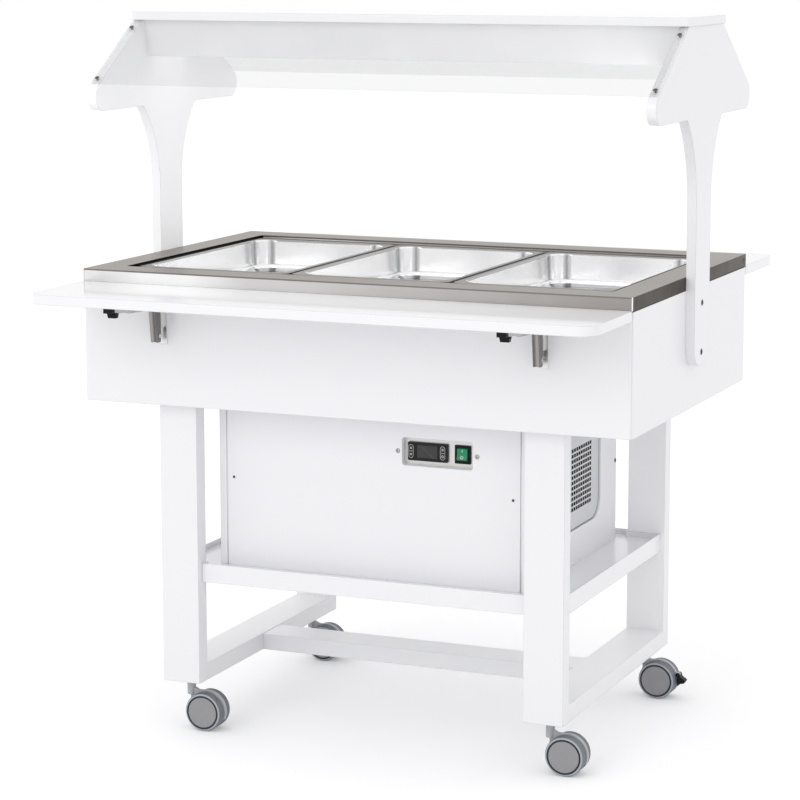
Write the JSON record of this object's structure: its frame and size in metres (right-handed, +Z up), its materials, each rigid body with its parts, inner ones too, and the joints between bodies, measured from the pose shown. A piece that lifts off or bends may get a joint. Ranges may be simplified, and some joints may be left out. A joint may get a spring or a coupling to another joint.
{
  "type": "mobile salad bar",
  "caption": "Refrigerated salad bar on casters with lift-out pans in a chilled well, folding tray boards on both long sides, and a canopy with sloping clear screens and a lamp.",
  "frame": {"origin": "on the floor, under the middle of the cart", "axes": "+X along the cart to the right as seen from the side with the controls, -Y toward that side, +Z up"},
  "size_m": [1.14, 1.144, 1.38],
  "materials": {
    "white board": "satin",
    "moulded shelf": "gloss",
    "lamp cover": "gloss",
    "diffuser": "satin",
    "lamp": "satin",
    "clear screen": "polished",
    "screws": "satin",
    "foam": "matte",
    "brushed steel": "satin",
    "polished pan": "polished",
    "wall plate": "satin",
    "arm": "satin",
    "black plastic": "satin",
    "strut": "satin",
    "vent plate": "matte",
    "control plate": "satin",
    "controller": "satin",
    "key pad": "satin",
    "green key": "gloss",
    "cooling set": "satin",
    "fan": "satin",
    "caster body": "satin",
    "wheel": "satin",
    "brake": "satin"
  },
  "bodies": {
    "cart": {"upright_left": "white board", "upright_right": "white board", "top_shelf": "white board", "lamp_cover": "lamp cover", "diffuser": "diffuser", "lamp": "lamp", "screen_front": "clear screen", "screen_rear": "clear screen", "screws": "screws", "front_panel": "white board", "rear_panel": "white board", "left_panel": "white board", "right_panel": "white board", "floor_panel": "white board", "insulation": "foam", "tank": "brushed steel", "rim": "brushed steel", "divider_bars": "brushed steel", "wall_plates": "wall plate", "legs": "white board", "rails": "white board", "stretcher": "white board", "mid_shelf": "moulded shelf", "housing_front": "white board", "housing_rear": "white board", "housing_ends": "white board", "grilles": "vent plate", "control_plate": "control plate", "controller": "controller", "switch_body": "controller", "cooling_set": "cooling set"},
    "front tray": {"tray_front": "white board", "arms_front": "arm", "caps_front": "black plastic"},
    "rear tray": {"tray_rear": "white board", "arms_rear": "arm", "caps_rear": "black plastic"},
    "front struts": {"struts_front": "strut"},
    "rear struts": {"struts_rear": "strut"},
    "left pan": {"pan_left": "polished pan"},
    "middle pan": {"pan_mid": "polished pan"},
    "right pan": {"pan_right": "polished pan"},
    "left key": {"key_pad_left": "key pad"},
    "right key": {"key_pad_right": "key pad"},
    "power switch": {"rocker": "green key"},
    "condenser fan": {"fan": "fan"},
    "front left lever": {"lever_front_left": "black plastic"},
    "front right lever": {"lever_front_right": "black plastic"},
    "rear left lever": {"lever_rear_left": "black plastic"},
    "rear right lever": {"lever_rear_right": "black plastic"},
    "front left caster": {"caster_front_left": "caster body"},
    "front left wheels": {"wheels_front_left": "wheel"},
    "front right caster": {"caster_front_right": "caster body"},
    "front right wheels": {"wheels_front_right": "wheel"},
    "rear left caster": {"caster_rear_left": "caster body"},
    "rear left wheels": {"wheels_rear_left": "wheel"},
    "rear left brake": {"brake_left": "brake"},
    "rear right caster": {"caster_rear_right": "caster body"},
    "rear right wheels": {"wheels_rear_right": "wheel"},
    "rear right brake": {"brake_right": "brake"}
  },
  "joints": [
    {"name": "front tray fold", "type": "hinge", "parent": "cart", "child": "front tray", "pos_m": [0, -0.374, 0.847], "axis": [1, 0, 0], "range_deg": [0, 90]},
    {"name": "front strut swing", "type": "hinge", "parent": "cart", "child": "front struts", "pos_m": [0, -0.379, 0.785], "axis": [1, 0, 0], "range_deg": [0, 180]},
    {"name": "front left release", "type": "hinge", "parent": "front tray", "child": "front left lever", "pos_m": [-0.381, -0.545, 0.854], "axis": [1, 0, 0], "range_deg": [0, 15], "stiffness_Nm_per_rad": 0.1},
    {"name": "front right release", "type": "hinge", "parent": "front tray", "child": "front right lever", "pos_m": [0.381, -0.545, 0.854], "axis": [1, 0, 0], "range_deg": [0, 15], "stiffness_Nm_per_rad": 0.1},
    {"name": "rear tray fold", "type": "hinge", "parent": "cart", "child": "rear tray", "pos_m": [0, 0.374, 0.847], "axis": [-1, 0, 0], "range_deg": [0, 90]},
    {"name": "rear strut swing", "type": "hinge", "parent": "cart", "child": "rear struts", "pos_m": [0, 0.379, 0.785], "axis": [-1, 0, 0], "range_deg": [0, 180]},
    {"name": "rear left release", "type": "hinge", "parent": "rear tray", "child": "rear left lever", "pos_m": [-0.381, 0.545, 0.854], "axis": [-1, 0, 0], "range_deg": [0, 15], "stiffness_Nm_per_rad": 0.1},
    {"name": "rear right release", "type": "hinge", "parent": "rear tray", "child": "rear right lever", "pos_m": [0.381, 0.545, 0.854], "axis": [-1, 0, 0], "range_deg": [0, 15], "stiffness_Nm_per_rad": 0.1},
    {"name": "left pan lift", "type": "slide", "parent": "cart", "child": "left pan", "axis": [0, 0, 1], "range_m": [0, 0.3]},
    {"name": "middle pan lift", "type": "slide", "parent": "cart", "child": "middle pan", "axis": [0, 0, 1], "range_m": [0, 0.3]},
    {"name": "right pan lift", "type": "slide", "parent": "cart", "child": "right pan", "axis": [0, 0, 1], "range_m": [0, 0.3]},
    {"name": "left key press", "type": "slide", "parent": "cart", "child": "left key", "axis": [0, 1, 0], "range_m": [0, 0.0008], "stiffness_N_per_m": 400},
    {"name": "right key press", "type": "slide", "parent": "cart", "child": "right key", "axis": [0, 1, 0], "range_m": [0, 0.0008], "stiffness_N_per_m": 400},
    {"name": "power switch rock", "type": "hinge", "parent": "cart", "child": "power switch", "pos_m": [0.1822, -0.2388, 0.575], "axis": [1, 0, 0], "range_deg": [0, 18]},
    {"name": "fan spin", "type": "hinge", "parent": "cart", "child": "condenser fan", "pos_m": [0.255, 0, 0.4363], "axis": [1, 0, 0], "continuous": true},
    {"name": "front left swivel", "type": "hinge", "parent": "cart", "child": "front left caster", "pos_m": [-0.3714, -0.277, 0.1], "axis": [0, 0, 1], "continuous": true},
    {"name": "front left wheel spin", "type": "hinge", "parent": "front left caster", "child": "front left wheels", "pos_m": [-0.3368, -0.277, 0.0375], "axis": [0, 1, 0], "continuous": true},
    {"name": "front right swivel", "type": "hinge", "parent": "cart", "child": "front right caster", "pos_m": [0.3714, -0.277, 0.1], "axis": [0, 0, 1], "continuous": true},
    {"name": "front right wheel spin", "type": "hinge", "parent": "front right caster", "child": "front right wheels", "pos_m": [0.406, -0.277, 0.0375], "axis": [0, 1, 0], "continuous": true},
    {"name": "rear left swivel", "type": "hinge", "parent": "cart", "child": "rear left caster", "pos_m": [-0.3714, 0.277, 0.1], "axis": [0, 0, 1], "continuous": true},
    {"name": "rear left wheel spin", "type": "hinge", "parent": "rear left caster", "child": "rear left wheels", "pos_m": [-0.3368, 0.277, 0.0375], "axis": [0, 1, 0], "continuous": true},
    {"name": "rear left brake pedal", "type": "hinge", "parent": "rear left caster", "child": "rear left brake", "pos_m": [-0.2958, 0.277, 0.0495], "axis": [0, 1, 0], "range_deg": [0, 8]},
    {"name": "rear right swivel", "type": "hinge", "parent": "cart", "child": "rear right caster", "pos_m": [0.3714, 0.277, 0.1], "axis": [0, 0, 1], "continuous": true},
    {"name": "rear right wheel spin", "type": "hinge", "parent": "rear right caster", "child": "rear right wheels", "pos_m": [0.406, 0.277, 0.0375], "axis": [0, 1, 0], "continuous": true},
    {"name": "rear right brake pedal", "type": "hinge", "parent": "rear right caster", "child": "rear right brake", "pos_m": [0.447, 0.277, 0.0495], "axis": [0, 1, 0], "range_deg": [0, 8]}
  ],
  "couplings": [
    {"joint": "front strut swing", "follows": "front tray fold", "ratio": 2},
    {"joint": "rear strut swing", "follows": "rear tray fold", "ratio": 2}
  ]
}
